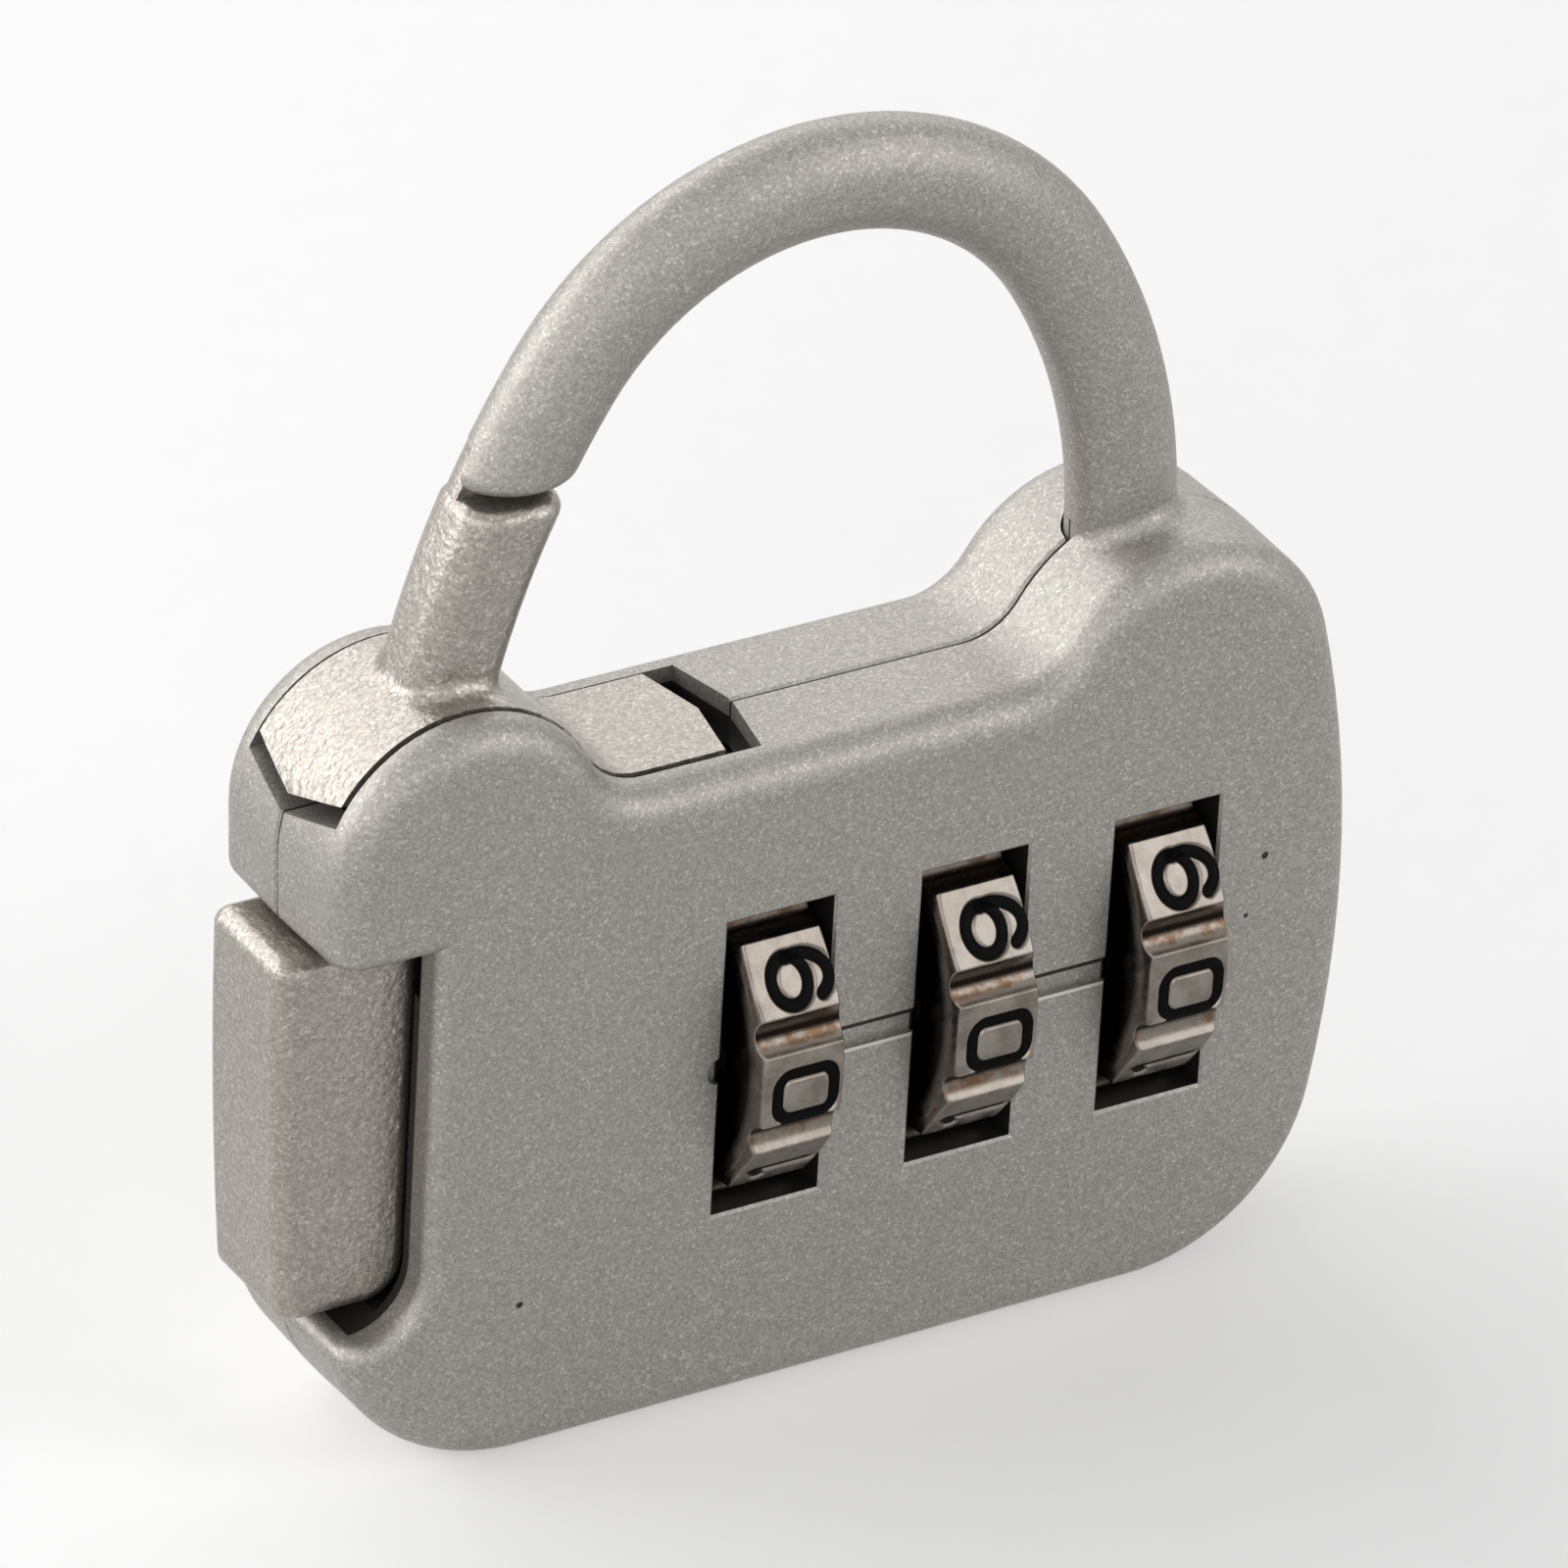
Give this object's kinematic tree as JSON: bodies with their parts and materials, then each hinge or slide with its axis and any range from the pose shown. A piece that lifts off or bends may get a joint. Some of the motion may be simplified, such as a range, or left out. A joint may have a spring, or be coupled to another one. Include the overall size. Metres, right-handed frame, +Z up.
{
  "type": "luggage combination padlock",
  "caption": "Small handbag-shaped luggage padlock with numbered wheels, a side button and a spring gate that swings inwards under a cast arch.",
  "frame": {"origin": "centre of the flat bottom, in the middle of the body's width, on the plane where the two body halves meet", "axes": "+X to the right seen from the numbered front face, +Y from the front face to the back, +Z up through the arch"},
  "size_m": [0.0336, 0.0102, 0.0377],
  "materials": {
    "painted_zinc": "satin metallic paint",
    "gate_paint": "coarse satin metallic paint",
    "plated_wheel": "worn plating",
    "brass_sleeve": "machined",
    "steel_part": "ground",
    "spring_steel": "drawn",
    "number_enamel": "black enamel in the numbers"
  },
  "bodies": {
    "body": {"front_housing": "painted_zinc", "back_housing": "painted_zinc", "gate_pivot_pin": "steel_part", "return_spring": "spring_steel", "return_spring_seat": "steel_part", "sleeve_spring_washer": "spring_steel", "sleeve_thrust_plate": "steel_part", "detent_comb": "spring_steel", "housing_drive_pins": "steel_part"},
    "gate": {"gate_lever": "gate_paint", "gate_spring": "spring_steel"},
    "release": {"release_button": "gate_paint", "locking_spindle": "steel_part", "latch_bar": "steel_part", "spindle_clip": "spring_steel"},
    "dial_1": {"number_wheel_1": "plated_wheel", "code_sleeve_1": "brass_sleeve"},
    "dial_2": {"number_wheel_2": "plated_wheel", "code_sleeve_2": "brass_sleeve"},
    "dial_3": {"number_wheel_3": "plated_wheel", "code_sleeve_3": "brass_sleeve"}
  },
  "joints": [
    {"name": "gate_swing", "type": "hinge", "parent": "body", "child": "gate", "pos_m": [-0.012, 0, 0.0193], "axis": [0, 1, 0], "range_deg": [0, 24]},
    {"name": "button_press", "type": "slide", "parent": "body", "child": "release", "axis": [1, 0, 0], "range_m": [0, 0.00095], "stiffness_N_per_m": 2500, "deforming": ["return_spring"]},
    {"name": "dial_1_turn", "type": "hinge", "parent": "body", "child": "dial_1", "pos_m": [-0.0024, 0, 0.0109], "axis": [1, 0, 0], "continuous": true, "deforming": ["detent_comb"]},
    {"name": "dial_2_turn", "type": "hinge", "parent": "body", "child": "dial_2", "pos_m": [0.0038, 0, 0.0109], "axis": [1, 0, 0], "continuous": true, "deforming": ["detent_comb"]},
    {"name": "dial_3_turn", "type": "hinge", "parent": "body", "child": "dial_3", "pos_m": [0.01, 0, 0.0109], "axis": [1, 0, 0], "continuous": true, "deforming": ["detent_comb"]}
  ],
  "couplings": [
    {"joint": "gate_swing", "follows": "button_press", "rad_per_m": 440.5}
  ]
}
